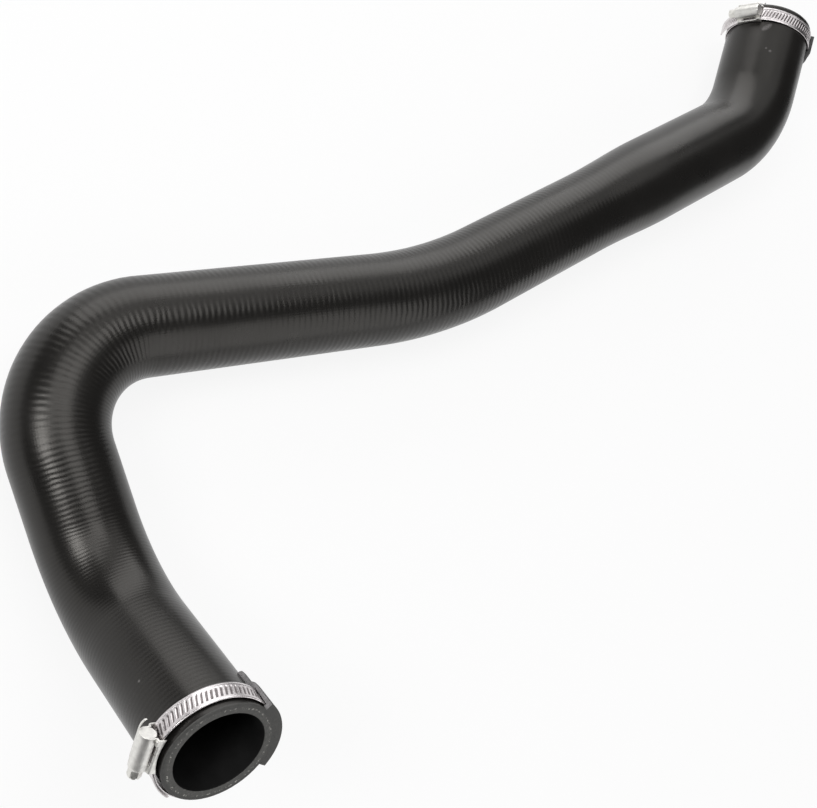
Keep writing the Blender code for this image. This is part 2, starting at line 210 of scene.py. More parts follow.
def hose_segments():
    """Straight runs and bends in order: start, direction, side the bend turns to, length, radius."""
    segments = []
    point = HOSE_START
    for index, (straight, heading, climb, bend_radius) in enumerate(HOSE_LEGS):
        along = compass(heading, climb)
        segments.append((point, along, None, straight, None))
        point = point + along * straight
        if bend_radius is None:
            break
        following = compass(*HOSE_LEGS[index + 1][1:3])
        turn = along.angle(following)
        inward = (following - along * following.dot(along)).normalized()
        segments.append((point, along, inward, bend_radius * turn, bend_radius))
        point = point + along * math.sin(turn) * bend_radius + inward * (1 - math.cos(turn)) * bend_radius
    return segments


def hose_place(segments, distance):
    """Point and direction of the centreline at a distance from the lower mouth."""
    for number, (start, along, inward, length, bend_radius) in enumerate(segments):
        if distance <= length or number == len(segments) - 1:
            break
        distance -= length
    if bend_radius is None:
        return start + along * distance, along
    angle = distance / bend_radius
    offset = along * math.sin(angle) + inward * (1 - math.cos(angle))
    return start + offset * bend_radius, along * math.cos(angle) + inward * math.sin(angle)


def smooth(low, high, value):
    share = min(max((value - low) / (high - low), 0.0), 1.0)
    return share * share * (3 - 2 * share)


SEGMENTS = hose_segments()
HOSE_LENGTH = sum(segment[3] for segment in SEGMENTS)
WIDENING_START = sum(segment[3] for segment in SEGMENTS[:2 * WIDENING_LEG]) + WIDENING_OFFSET


def outer_radius(distance):
    widened = smooth(WIDENING_START, WIDENING_START + WIDENING_LENGTH, distance)
    return LOWER_RADIUS + (UPPER_RADIUS - LOWER_RADIUS) * widened


def wrap_strength(distance):
    """How clearly the rings of the curing tape show: faint at the mouth, gone at the wide end."""
    clear = WRAP_AT_MOUTH + (1 - WRAP_AT_MOUTH) * smooth(*WRAP_CLEARS, distance)
    return clear * (1 - smooth(*WRAP_FADES, distance))


def end_frame(origin, inward):
    """Frame at a hose end: X up, Z along the hose away from its open mouth."""
    up = (Vector((0, 0, 1)) - inward * inward.z).normalized()
    side = inward.cross(up)
    return Matrix.Translation(origin) @ Matrix((up, side, inward)).transposed().to_4x4()


upper_end, upper_along = hose_place(SEGMENTS, HOSE_LENGTH)
lower_mouth = end_frame(HOSE_START, SEGMENTS[0][1])
upper_mouth = end_frame(upper_end, -upper_along)


def under_keeper(mouth, outward, side):
    """Whether the keeper, which joins the cut face without a step, covers this direction."""
    place = mouth.to_3x3().inverted() @ outward
    return KEEPER_START < side * math.degrees(math.atan2(place.y, place.x)) < KEEPER_START + KEEPER_SPAN


# Stations along the outside, six to a ring of the tape, then round the upper lip, back through the
# bore, and round the lower lip. Each holds its distance from the lower mouth, its depth under the
# surface, its ring count, and its finish: 0 for wrapped, 1 for cut and 2 for bore.
outside = []
distance, rings = LIP_ROUNDING, 0.0
while distance < HOSE_LENGTH - LIP_ROUNDING:
    outside.append((distance, 0.0, rings, 0))
    widened = smooth(*WRAP_PITCH_REACH, distance)
    pitch = WRAP_PITCH_LOWER + (WRAP_PITCH_MIDDLE - WRAP_PITCH_LOWER) * widened
    distance += pitch / ROWS_PER_RING
    rings += 1 / ROWS_PER_RING
lip = (
    (LIP_ROUNDING * 0.29, LIP_ROUNDING * 0.29, 1),
    (0.0, LIP_ROUNDING, 1),
    (CUT_HOLLOW, WALL * 0.38, 1),
    (CUT_HOLLOW / 4, WALL * 0.62, 1),
    (0.0, WALL - LIP_ROUNDING * 0.6, 1),
    (LIP_ROUNDING * 0.2, WALL - LIP_ROUNDING * 0.15, 1),
)
upper_lip = [(HOSE_LENGTH - inset, depth, rings, finish) for inset, depth, finish in lip]
bore_rows = int(HOSE_LENGTH / BORE_STEP)
bore = [
    (HOSE_LENGTH - LIP_ROUNDING - (HOSE_LENGTH - 2 * LIP_ROUNDING) * row / bore_rows, WALL, 0.0, 2)
    for row in range(bore_rows + 1)
]
lower_lip = [(inset, depth, 0.0, finish) for inset, depth, finish in reversed(lip)]
stations = outside + upper_lip + bore + lower_lip

# The direction that is carried along the centreline without twisting, sampled finely.
carried = []
up = (Vector((0, 0, 1)) - SEGMENTS[0][1] * SEGMENTS[0][1].z).normalized()
for step in range(CARRIED_STEPS + 1):
    _, along = hose_place(SEGMENTS, HOSE_LENGTH * step / CARRIED_STEPS)
    up = (up - along * up.dot(along)).normalized()
    carried.append(up.copy())

points = []
wrap_values = []
depth_values = []
for distance, depth, rings, finish in stations:
    centre, along = hose_place(SEGMENTS, distance)
    up = carried[min(max(round(distance / HOSE_LENGTH * CARRIED_STEPS), 0), CARRIED_STEPS)]
    up = (up - along * up.dot(along)).normalized()
    side = along.cross(up)
    strength = wrap_strength(distance) if finish == 0 else 0.0
    slant = CUT_SLANT * (1 - smooth(0.0, CUT_SLANT_REACH, distance))
    for number in range(HOSE_SIDES):
        angle = math.tau * number / HOSE_SIDES
        ring_wave = math.sin(math.tau * (rings + number / HOSE_SIDES))
        radius = outer_radius(distance) - depth + WRAP_HEIGHT * strength * (ring_wave - 1)
        outward = up * math.cos(angle) + side * math.sin(angle)
        station = centre
        if finish == 1 and 0 < depth < LIP_ROUNDING:
            nearer = distance < HOSE_LENGTH / 2
            mouth = lower_mouth if nearer else upper_mouth
            if under_keeper(mouth, outward, 1 if nearer else -1):
                station = mouth.translation
                radius += depth
        points.append(station + outward * radius - along * slant * radius * math.sin(angle))
        wrap_values.append(strength)
        depth_values.append(depth / WALL)


def rows_joined(rows, sides, closed=False):
    """Faces between rows of points that go round; when closed, the last row joins the first."""
    faces = []
    for row in range(rows if closed else rows - 1):
        following = (row + 1) % rows
        for side in range(sides):
            beside = (side + 1) % sides
            faces.append((row * sides + side, row * sides + beside,
                          following * sides + beside, following * sides + side))
    return faces


face_finishes = []
face_coordinates = []
for row, (_, _, start_ring, finish) in enumerate(stations):
    _, _, end_ring, next_finish = stations[(row + 1) % len(stations)]
    if row < len(outside) + len(lip):
        finish = max(finish, next_finish)
    face_finishes += [finish] * HOSE_SIDES
    for number in range(HOSE_SIDES):
        low, high = number / HOSE_SIDES, (number + 1) / HOSE_SIDES
        face_coordinates += [(start_ring, low), (start_ring, high), (end_ring, high), (end_ring, low)]
moulded_hose = mesh_piece("moulded_hose", points, rows_joined(len(stations), HOSE_SIDES, closed=True))
coordinates = moulded_hose.data.uv_layers.new(name="rings")
for loop, place in zip(coordinates.data, face_coordinates):
    loop.uv = place


def point_values(piece, name, values):
    """Gives each point of the piece a number that its material reads by name."""
    piece.data.attributes.new(name, "FLOAT", "POINT").data.foreach_set("value", values)


def shade_smooth(piece, sharp_angle):
    """Shades the piece smooth but for edges sharper than an angle in degrees."""
    piece.data.polygons.foreach_set("use_smooth", [True] * len(piece.data.polygons))
    piece.data.set_sharp_from_angle(angle=math.radians(sharp_angle))


point_values(moulded_hose, "wrap", wrap_values)
point_values(moulded_hose, "depth", depth_values)
shade_smooth(moulded_hose, 60.0)


def math_node(nodes, links, operation, first, second=None):
    """Math node whose inputs are numbers or sockets; returns its output."""
    node = nodes.new("ShaderNodeMath")
    node.operation = operation
    for place, value in enumerate((first, second)):
        if value is None:
            continue
        if isinstance(value, (int, float)):
            node.inputs[place].default_value = value
        else:
            links.new(value, node.inputs[place])
    return node.outputs[0]


def attribute_node(nodes, name):
    """The number that point_values gave to the piece's points; returns its output."""
    node = nodes.new("ShaderNodeAttribute")
    node.attribute_name = name
    return node.outputs["Fac"]


def noise_node(nodes, links, scale, detail=2.0, roughness=0.5):
    """Noise in the object's own metres; returns its value."""
    place = nodes.new("ShaderNodeTexCoord")
    noise = nodes.new("ShaderNodeTexNoise")
    noise.inputs["Scale"].default_value = scale
    noise.inputs["Detail"].default_value = detail
    noise.inputs["Roughness"].default_value = roughness
    links.new(place.outputs["Object"], noise.inputs["Vector"])
    return noise.outputs["Fac"]


def colour_ramp(nodes, links, source, stops):
    ramp = nodes.new("ShaderNodeValToRGB")
    while len(ramp.color_ramp.elements) < len(stops):
        ramp.color_ramp.elements.new(0.5)
    for element, (place, colour) in zip(ramp.color_ramp.elements, stops):
        element.position = place
        element.color = (*colour, 1.0)
    links.new(source, ramp.inputs["Fac"])
    return ramp.outputs["Color"]


def range_node(nodes, links, source, low, high, start, end):
    """Maps a value from one range to another."""
    node = nodes.new("ShaderNodeMapRange")
    links.new(source, node.inputs["Value"])
    for name, value in (("From Min", low), ("From Max", high), ("To Min", start), ("To Max", end)):
        node.inputs[name].default_value = value
    return node.outputs["Result"]


def bump_node(nodes, links, height, distance, strength=1.0, under=None):
    node = nodes.new("ShaderNodeBump")
    node.inputs["Distance"].default_value = distance
    node.inputs["Strength"].default_value = strength
    links.new(height, node.inputs["Height"])
    if under is not None:
        links.new(under, node.inputs["Normal"])
    return node.outputs["Normal"]


def near(nodes, links, place, inner, outer):
    """1 close to a point of the object, fading to 0 further off."""
    coordinate = nodes.new("ShaderNodeTexCoord")
    distance = nodes.new("ShaderNodeVectorMath")
    distance.operation = "DISTANCE"
    links.new(coordinate.outputs["Object"], distance.inputs[0])
    distance.inputs[1].default_value = place
    return range_node(nodes, links, distance.outputs["Value"], inner, outer, 1.0, 0.0)


SCUFFS = (
    # centre of a rub mark, its clear and its faded radius
    ((0.337048, 0.180762, 0.073076), 0.0007, 0.0022),
    ((0.338400, 0.181072, 0.074100), 0.0011, 0.0028),
    ((0.339753, 0.181382, 0.075130), 0.0012, 0.0030),
    ((0.341300, 0.181800, 0.076100), 0.0010, 0.0026),
    ((0.342776, 0.182241, 0.077008), 0.0005, 0.0018),
    ((0.331104, 0.159164, 0.076585), 0.0005, 0.0016),
    ((0.329728, 0.162977, 0.074730), 0.0003, 0.0012),
    ((-0.382954, -0.136379, 0.121229), 0.0003, 0.0011),
)
wrapped_rubber, nodes, links, shader = new_finish("wrapped_rubber")
place = nodes.new("ShaderNodeUVMap")
place.uv_map = "rings"
parts = nodes.new("ShaderNodeSeparateXYZ")
links.new(place.outputs["UV"], parts.inputs[0])
wobble = range_node(nodes, links, noise_node(nodes, links, 110.0, 0.0), 0.0, 1.0, -0.30, 0.30)
turns = math_node(nodes, links, "ADD", parts.outputs["X"], parts.outputs["Y"])
turns = math_node(nodes, links, "ADD", turns, wobble)
wave = math_node(nodes, links, "SINE", math_node(nodes, links, "MULTIPLY", turns, math.tau))
wrap = attribute_node(nodes, "wrap")
patchy = range_node(nodes, links, noise_node(nodes, links, 38.0, 1.0), 0.25, 0.75, 0.40, 1.0)
ring_height = math_node(nodes, links, "MULTIPLY", wave, wrap)
ring_height = math_node(nodes, links, "MULTIPLY", ring_height, patchy)
cloth = math_node(nodes, links, "MULTIPLY", parts.outputs["Y"], math.tau * CLOTH_RIBS)
cloth = math_node(nodes, links, "MULTIPLY", math_node(nodes, links, "SINE", cloth), wrap)
grain = noise_node(nodes, links, 1500.0, 3.0, 0.6)
lumps = noise_node(nodes, links, 45.0, 1.0)
normal = bump_node(nodes, links, lumps, 0.0006, 0.35)
normal = bump_node(nodes, links, ring_height, 0.000056, 1.0, normal)
normal = bump_node(nodes, links, cloth, 0.000005, 1.0, normal)
normal = bump_node(nodes, links, grain, 0.00005, 0.5, normal)
links.new(normal, shader.inputs["Normal"])
base = colour_ramp(nodes, links, noise_node(nodes, links, 14.0, 5.0, 0.6), (
    (0.25, (0.0068, 0.0064, 0.0060)),
    (0.60, (0.0095, 0.0089, 0.0083)),
    (0.85, (0.0140, 0.0130, 0.0121)),
))
rub = None
for centre, inner, outer in SCUFFS:
    mark = near(nodes, links, centre, inner, outer)
    rub = mark if rub is None else math_node(nodes, links, "MAXIMUM", rub, mark)
broken = range_node(nodes, links, noise_node(nodes, links, 1100.0, 3.0, 0.6), 0.30, 0.62, 0.15, 0.60)
rub = math_node(nodes, links, "MULTIPLY", rub, broken)
scuffed = mixed_colours(nodes, links, rub, base, (0.20, 0.19, 0.19, 1.0))
links.new(scuffed, shader.inputs["Base Color"])
shader.inputs["Specular Tint"].default_value = (1.0, 0.965, 0.915, 1.0)
shader.inputs["Specular IOR Level"].default_value = 0.43
haze = noise_node(nodes, links, 22.0, 4.0)
links.new(range_node(nodes, links, haze, 0.2, 0.8, 0.24, 0.34), shader.inputs["Roughness"])

PLY_DEPTH = 0.47
cut_rubber, nodes, links, shader = new_finish("cut_rubber")
depth = attribute_node(nodes, "depth")
ragged = range_node(nodes, links, noise_node(nodes, links, 240.0, 3.0), 0.0, 1.0, -0.10, 0.10)
layer = math_node(nodes, links, "ADD", depth, ragged)
grain = noise_node(nodes, links, 620.0, 5.0, 0.7)
outer_layer = colour_ramp(nodes, links, grain, (
    (0.30, (0.040, 0.040, 0.038)),
    (0.75, (0.080, 0.078, 0.074)),
))
inner_layer = colour_ramp(nodes, links, grain, (
    (0.25, (0.046, 0.046, 0.043)),
    (0.55, (0.082, 0.081, 0.076)),
    (0.80, (0.170, 0.166, 0.155)),
))
inner_share = range_node(nodes, links, layer, 0.28, 0.48, 0.0, 1.0)
layers = mixed_colours(nodes, links, inner_share, outer_layer, inner_layer)
off_ply = math_node(nodes, links, "ABSOLUTE", math_node(nodes, links, "SUBTRACT", depth, PLY_DEPTH))
ring = range_node(nodes, links, off_ply, 0.03, 0.13, 1.0, 0.0)
broken = range_node(nodes, links, noise_node(nodes, links, 520.0, 3.0, 0.65), 0.55, 0.64, 0.0, 1.0)
threads = math_node(nodes, links, "MULTIPLY", ring, broken)
with_threads = mixed_colours(nodes, links, threads, layers, (0.52, 0.51, 0.47, 1.0))
links.new(with_threads, shader.inputs["Base Color"])
links.new(range_node(nodes, links, grain, 0.2, 0.8, 0.55, 0.80), shader.inputs["Roughness"])
normal = bump_node(nodes, links, noise_node(nodes, links, 900.0, 4.0, 0.65), 0.0003, 0.7)
normal = bump_node(nodes, links, threads, 0.0003, 0.8, normal)
links.new(normal, shader.inputs["Normal"])

bore_rubber, nodes, links, shader = new_finish("bore_rubber")
links.new(colour_ramp(nodes, links, noise_node(nodes, links, 120.0, 3.0), (
    (0.3, (0.004, 0.004, 0.004)),
    (0.8, (0.008, 0.008, 0.008)),
)), shader.inputs["Base Color"])
shader.inputs["Roughness"].default_value = 0.75
shader.inputs["Specular IOR Level"].default_value = 0.2
normal = bump_node(nodes, links, noise_node(nodes, links, 500.0, 3.0), 0.0001, 0.5)
links.new(normal, shader.inputs["Normal"])

for finish in (wrapped_rubber, cut_rubber, bore_rubber):
    moulded_hose.data.materials.append(finish)
moulded_hose.data.polygons.foreach_set("material_index", face_finishes)
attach(moulded_hose, "hose_assembly")
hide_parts("hose")

# Clamp bands: a strip of plated steel round each end of the hose, lapped on itself under the screw.
# The worm's thread is pressed into the middle of the strip, which leaves a smooth rim on both sides.
# Each clamp has slipped a little out of square, and its loose tail stands off the hose.
BAND_WIDTH = 0.012
BAND_THICKNESS = 0.0008
SEAT_GAP = 0.0003
LAYER_PITCH = BAND_THICKNESS + SEAT_GAP
OVERLAP_RAMP = 30.0
RAMP_CLEARANCE = 5.0
TAIL_ANGLE = 61.0
THREAD_PITCH = 0.0028
THREAD_DEPTH = 0.00045
BED_DEPTH = 0.00018
THREAD_SLANT = math.tan(math.radians(17))
THREAD_HALF = 0.0036
THREAD_EDGE = 0.78
THREAD_RUNOUT = 0.001
THREAD_LANDS = ((-0.0050, 0.0), (-0.0044, 0.0), (-0.0042, BED_DEPTH), (-0.0039, BED_DEPTH))
ROWS_PER_THREAD = 10
BLANK_START = 0.030
BLANK_TIP = 0.006
BAND_RIM = 0.00032
BAND_EDGE = 0.00012
TIP_NARROWING = 0.22
TIP_LENGTH = 0.0035
SHEAR_REACH = 0.006
HOUSING_LENGTH = 0.022
HOUSING_SHEET = 0.0009
WORM_RADIUS = 0.00395
RUNNING_GAP = 0.0003
SCREW_HEIGHT = LAYER_PITCH + BAND_THICKNESS + RUNNING_GAP + WORM_RADIUS
SKIRT_HALF_WIDTH = BAND_WIDTH / 2 + SEAT_GAP + HOUSING_SHEET / 2
LOWER_HOUSING_ANGLE = -71.0
UPPER_HOUSING_ANGLE = 68.0
LOWER_TILT = -4.4
UPPER_TILT = -2.0
LOWER_SETBACK = 0.0095
UPPER_SETBACK = 0.0102
LOWER_TAIL_LIFT = 0.001
UPPER_TAIL_LIFT = 0.0035


def clamp_frame(mouth, housing_angle, setback, tilt, flipped):
    """Frame of a clamp: X out through its screw's barrel, Z along the hose, the head towards -Y."""
    facing = Matrix.Rotation(math.radians(housing_angle), 4, "Z")
    facing = facing @ Matrix.Rotation(math.radians(tilt), 4, "Y")
    if flipped:
        facing = facing @ Matrix.Rotation(math.pi, 4, "X")
    return mouth @ Matrix.Translation((0, 0, setback)) @ facing


def clamp_radius(hose_radius, tilt):
    """Inner radius of a clamp that clears the hose although it has slipped out of square."""
    lean = math.radians(abs(tilt))
    climb = (SKIRT_HALF_WIDTH + HOUSING_SHEET / 2) * math.sin(lean)
    return (hose_radius + SEAT_GAP + climb) / math.cos(lean)


CLAMPS = (
    # end, the clamp's frame, its inner radius, how far the tail stands off
    ("lower", clamp_frame(lower_mouth, LOWER_HOUSING_ANGLE, LOWER_SETBACK, LOWER_TILT, False),
     clamp_radius(LOWER_RADIUS, LOWER_TILT), LOWER_TAIL_LIFT),
    ("upper", clamp_frame(upper_mouth, UPPER_HOUSING_ANGLE, UPPER_SETBACK, UPPER_TILT, True),
     clamp_radius(UPPER_RADIUS, UPPER_TILT), UPPER_TAIL_LIFT),
)


def band_section(press):
    """Outline across the strip: place, then depth under its outer face, round both faces."""
    half, rim = BAND_WIDTH / 2, BAND_RIM
    outer = [(-half, rim), (-half + 0.0001, BAND_EDGE), (-half + rim, 0.0)]
    outer += THREAD_LANDS
    outer += [(THREAD_HALF * (step / 5 - 1), None) for step in range(11)]
    outer += [(-place, depth) for place, depth in reversed(THREAD_LANDS)]
    outer += [(half - rim, 0.0), (half - 0.0001, BAND_EDGE), (half, rim)]
    inner = [(half, BAND_THICKNESS - BAND_EDGE), (half - rim, BAND_THICKNESS)]
    inner += [(0.0, BAND_THICKNESS), (-half + rim, BAND_THICKNESS), (-half, BAND_THICKNESS - BAND_EDGE)]
    section = []
    for place, depth in outer + inner:
        if depth is None:
            edge = 1 - smooth(THREAD_HALF * THREAD_EDGE, THREAD_HALF, abs(place))
            depth = BED_DEPTH + press * edge
        section.append((place, depth))
    return section


def clamp_band(label, clamp, inner, tail_lift):
    """One turn on the hose, a ramp up over its start, the pass under the worm, and the tail."""
    half_angle = math.degrees(math.asin(HOUSING_LENGTH / 2 / (inner + SCREW_HEIGHT)))
    first, last = -half_angle, 360 + TAIL_ANGLE
    ramp_end = 360 - half_angle - RAMP_CLEARANCE
    length = math.radians(last - first) * inner
    rows = round(length / THREAD_PITCH * ROWS_PER_THREAD)
    points = []
    pressed = []
    for row in range(rows + 1):
        run = length * row / rows
        turn = run / THREAD_PITCH
        threaded = smooth(BLANK_START, BLANK_START + THREAD_RUNOUT, run)
        threaded *= 1 - smooth(length - BLANK_TIP - THREAD_RUNOUT, length - BLANK_TIP, run)
        press = THREAD_DEPTH * threaded * max(0.0, math.sin(math.tau * turn)) ** 0.5
        narrowed = 1 - TIP_NARROWING * smooth(length - TIP_LENGTH, length, run) ** 2
        sheared = smooth(0.0, SHEAR_REACH, run) * (1 - smooth(length - SHEAR_REACH, length, run))
        for place, depth in band_section(press):
            along = run - THREAD_SLANT * place * sheared
            angle = first + math.degrees(along / inner)
            climbed = min(max((angle - ramp_end + OVERLAP_RAMP) / OVERLAP_RAMP, 0.0), 1.0)
            lifted = max((angle - 360 - half_angle) / (TAIL_ANGLE - half_angle), 0.0)
            radius = inner + BAND_THICKNESS + LAYER_PITCH * climbed + tail_lift * lifted * lifted - depth
            around = math.radians(-angle)
            pressed.append((depth - BED_DEPTH) / THREAD_DEPTH if abs(place) <= THREAD_HALF else 0.0)
            points.append(clamp @ Vector((
                radius * math.cos(around), radius * math.sin(around), place * narrowed,
            )))
    sides = len(band_section(0.0))
    faces = rows_joined(rows + 1, sides)
    faces += [tuple(reversed(range(sides))), tuple(range(rows * sides, (rows + 1) * sides))]
    strip = mesh_piece(label + "_band_strip", points, faces)
    # The pressed share also steers the painted shade in the thread grooves of the band's steel.
    point_values(strip, "pressed", pressed)
    return settle(strip)


def settle(piece, sharp_angle=38.0):
    """Turns the faces outwards and shades the piece smooth but for its sharp edges."""
    shape = bmesh.new()
    shape.from_mesh(piece.data)
    bmesh.ops.recalc_face_normals(shape, faces=shape.faces)
    shape.to_mesh(piece.data)
    shape.free()
    shade_smooth(piece, sharp_angle)
    return piece


def plated_steel(name, dark, middle, light, rough, smear_scale):
    """Plated sheet steel: cloudy plating, rubbed lines, fine pits, and painted shade in the band's pressed
    thread grooves.
    """
    finish, nodes, links, shader = new_finish(name)
    shader.inputs["Metallic"].default_value = 1.0
    clouds = noise_node(nodes, links, 260.0, 4.0, 0.6)
    plating = colour_ramp(nodes, links, clouds, ((0.25, dark), (0.5, middle), (0.75, light)))
    # Painted shade: the bottoms of the band's pressed thread grooves are painted dark pinkish grey.
    in_thread = range_node(nodes, links, attribute_node(nodes, "pressed"), 0.15, 0.85, 0.0, 1.0)
    thread_painted_shade = mixed_colours(nodes, links, in_thread, plating, (0.20, 0.18, 0.18, 1.0))
    links.new(thread_painted_shade, shader.inputs["Base Color"])
    smears = noise_node(nodes, links, smear_scale, 4.0, 0.65)
    links.new(range_node(nodes, links, smears, 0.25, 0.75, *rough), shader.inputs["Roughness"])
    normal = bump_node(nodes, links, noise_node(nodes, links, 1400.0, 3.0, 0.6), 0.00003, 0.5)
    normal = bump_node(nodes, links, noise_node(nodes, links, 220.0, 2.0), 0.00012, 0.4, normal)
    links.new(normal, shader.inputs["Normal"])
    return finish


band_steel = plated_steel(
    "band_steel", (0.54, 0.51, 0.515), (0.69, 0.655, 0.66), (0.82, 0.79, 0.79), (0.22, 0.38), 700.0
)
for label, clamp, inner, tail_lift in CLAMPS:
    band = clamp_band(label, clamp, inner, tail_lift)
    band.data.materials.append(band_steel)
    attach(band, "hose_assembly")
    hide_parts(label + "_clamp_band")

# Clamp housings: each is pressed from sheet steel into a barrel over the worm and a saddle on the band.
# The mouth side has a long gap between the barrel and the saddle, and a folded tab at its blind end.
# A lip runs along the other side and hooks down over the band past the blind end.
SHOULDER_HEIGHT = LAYER_PITCH + BAND_THICKNESS + SEAT_GAP + HOUSING_SHEET / 2
BARREL_RADIUS = WORM_RADIUS + RUNNING_GAP + HOUSING_SHEET / 2
END_WALL = 0.0009
NECK_RADIUS = 0.0025
ARC_STEPS = 20
SHELL_ROWS = 44
FOOT_CLEARANCE = 0.0002
SHEET_BEND = 0.0005
SHEET_ROUNDING = 0.00016
CRIMP_START = 0.002
CRIMP_REACH = 0.0012
CRIMP_DEPTH = 0.00025
WELD_DISTANCE = 0.000001
RING_SIDES = 40
GAP_START, GAP_END = -0.006, 0.007
GAP_COLUMNS = (3, 4, 5)
NOTCHES = ((-0.0036, -0.0028), (0.0008, 0.0018), (0.0046, 0.0052))
NOTCH_COLUMN = 2
TAB_START, TAB_END = 0.0072, 0.0108
TAB_FOOT, TAB_TOP = 0.0016, 0.0040
TAB_ROUNDING = 0.0005
TAB_PROUD = 0.0007
TAB_INSET = 0.0002
LIP_STANDOFF = 0.0009
LIP_HALF = 0.0095
LIP_HEIGHT = 0.0024
LIP_WIDTH = 0.0013
LIP_SHEET = 0.0005
LIP_START_DROP = 0.0002
LIP_TAPER = 0.35
LIP_TAPER_START = 0.7
LIP_EDGE_ROUNDING = 0.00012
HOOK_TURN = 100.0
HOOK_STEPS = 12
HOOK_DROP = 0.0026
HOOK_REACH = 0.0056


def saddle_outline(foot):
    """Height and place across the band of the bent sheet, from the mouth side to the other."""
    flank = [
        (foot, SKIRT_HALF_WIDTH), ((foot + SHOULDER_HEIGHT) / 2, SKIRT_HALF_WIDTH),
        (SHOULDER_HEIGHT - SHEET_BEND, SKIRT_HALF_WIDTH), (SHOULDER_HEIGHT, SKIRT_HALF_WIDTH - SHEET_BEND),
        (SHOULDER_HEIGHT, BARREL_RADIUS + 0.0006), (SHOULDER_HEIGHT + 0.00015, BARREL_RADIUS + 0.0001),
        (SHOULDER_HEIGHT + 0.0008, BARREL_RADIUS),
    ]
    arc = []
    for step in range(ARC_STEPS + 1):
        angle = math.pi * step / ARC_STEPS
        arc.append((SCREW_HEIGHT + BARREL_RADIUS * math.sin(angle), -BARREL_RADIUS * math.cos(angle)))
    return [(height, -across) for height, across in flank] + arc + list(reversed(flank))


def bevelled(piece, width, segments=2, limit=40.0):
    """Rounds the piece's sharp edges and keeps the result as its mesh."""
    rounding = piece.modifiers.new("rounding", "BEVEL")
    rounding.width = width
    rounding.segments = segments
    rounding.limit_method = "ANGLE"
    rounding.angle_limit = math.radians(limit)
    return baked(piece)


def baked(piece):
    """Replaces the piece's mesh by what its modifiers make of it."""
    bpy.context.view_layer.update()
    graph = bpy.context.evaluated_depsgraph_get()
    made = bpy.data.meshes.new_from_object(piece.evaluated_get(graph))
    piece.modifiers.clear()
    piece.data = made
    return piece


def sheet_piece(name, points, faces, thickness):
    piece = mesh_piece(name, points, faces)
    sheet = piece.modifiers.new("sheet", "SOLIDIFY")
    sheet.thickness = thickness
    sheet.offset = 0
    sheet.use_even_offset = True
    return piece


def housing_shell(label, clamp, inner):
    """Barrel and saddle as one bent sheet, with the gap and the notches left out."""
    stops = [HOUSING_LENGTH * (step / SHELL_ROWS - 0.5) for step in range(SHELL_ROWS + 1)]
    points, faces = [], []
    across = len(saddle_outline(0.0))
    for stop in stops:
        foot = math.sqrt(inner * inner - stop * stop) - inner + FOOT_CLEARANCE
        crimped = smooth(HOUSING_LENGTH / 2 - CRIMP_REACH, HOUSING_LENGTH / 2, abs(stop))
        for height, place in saddle_outline(foot):
            if height > SHOULDER_HEIGHT + CRIMP_START:
                height -= CRIMP_DEPTH * crimped
            points.append(clamp @ Vector((inner + height, stop, place)))
    for index in range(len(stops) - 1):
        middle = (stops[index] + stops[index + 1]) / 2
        for column in range(across - 1):
            in_gap = column in GAP_COLUMNS and GAP_START < middle < GAP_END
            in_notch = column == NOTCH_COLUMN and any(start < middle < end for start, end in NOTCHES)
            if not in_gap and not in_notch:
                first = index * across + column
                faces.append((first, first + 1, first + across + 1, first + across))
    shell = sheet_piece(label + "_housing_shell", points, faces, HOUSING_SHEET)
    return settle(bevelled(baked(shell), SHEET_ROUNDING))


def welded(piece):
    """Joins points that fall together and turns the faces outwards."""
    shape = bmesh.new()
    shape.from_mesh(piece.data)
    bmesh.ops.remove_doubles(shape, verts=shape.verts, dist=WELD_DISTANCE)
    bmesh.ops.recalc_face_normals(shape, faces=shape.faces)
    shape.to_mesh(piece.data)
    shape.free()
    return piece


def ring_wall(name, clamp, inner, middle, bore):
    """Round end wall of the barrel with rounded rims; a bore of nothing leaves it closed."""
    rim, half = SHEET_ROUNDING, END_WALL / 2
    outline = (
        (bore, -half), (BARREL_RADIUS - rim, -half), (BARREL_RADIUS, rim - half),
        (BARREL_RADIUS, half - rim), (BARREL_RADIUS - rim, half), (bore, half),
    )
    points = []
    for radius, offset in outline:
        for side in range(RING_SIDES):
            angle = math.tau * side / RING_SIDES
            points.append(clamp @ Vector((
                inner + SCREW_HEIGHT + radius * math.cos(angle), middle + offset, radius * math.sin(angle),
            )))
    return settle(welded(mesh_piece(name, points, rows_joined(len(outline), RING_SIDES, closed=True))))


def bent_strip(name, clamp, path, width, thickness):
    """Strip that follows a path of height, place along the screw and place across."""
    points, faces = [], []
    for index, (height, along, place) in enumerate(path):
        share = index / (len(path) - 1)
        half = width / 2 * (1 - LIP_TAPER * smooth(LIP_TAPER_START, 1.0, share))
        points += [clamp @ Vector((height, along, place + side * half)) for side in (-1, 1)]
    for index in range(len(path) - 1):
        faces.append((2 * index, 2 * index + 1, 2 * index + 3, 2 * index + 2))
    return settle(bevelled(baked(sheet_piece(name, points, faces, thickness)), LIP_EDGE_ROUNDING))


def rounded_block(name, clamp, low, high, rounding):
    shape = bmesh.new()
    size = [top - bottom for bottom, top in zip(low, high)]
    middle = [(top + bottom) / 2 for bottom, top in zip(low, high)]
    bmesh.ops.create_cube(shape, size=1.0, matrix=Matrix.Translation(middle) @ Matrix.Diagonal((*size, 1)))
    bmesh.ops.bevel(shape, geom=list(shape.edges), offset=rounding, segments=3, affect="EDGES")
    mesh = bpy.data.meshes.new(name)
    shape.to_mesh(mesh)
    shape.free()
    mesh.transform(clamp)
    piece = bpy.data.objects.new(name, mesh)
    bpy.context.scene.collection.objects.link(piece)
    return settle(piece)


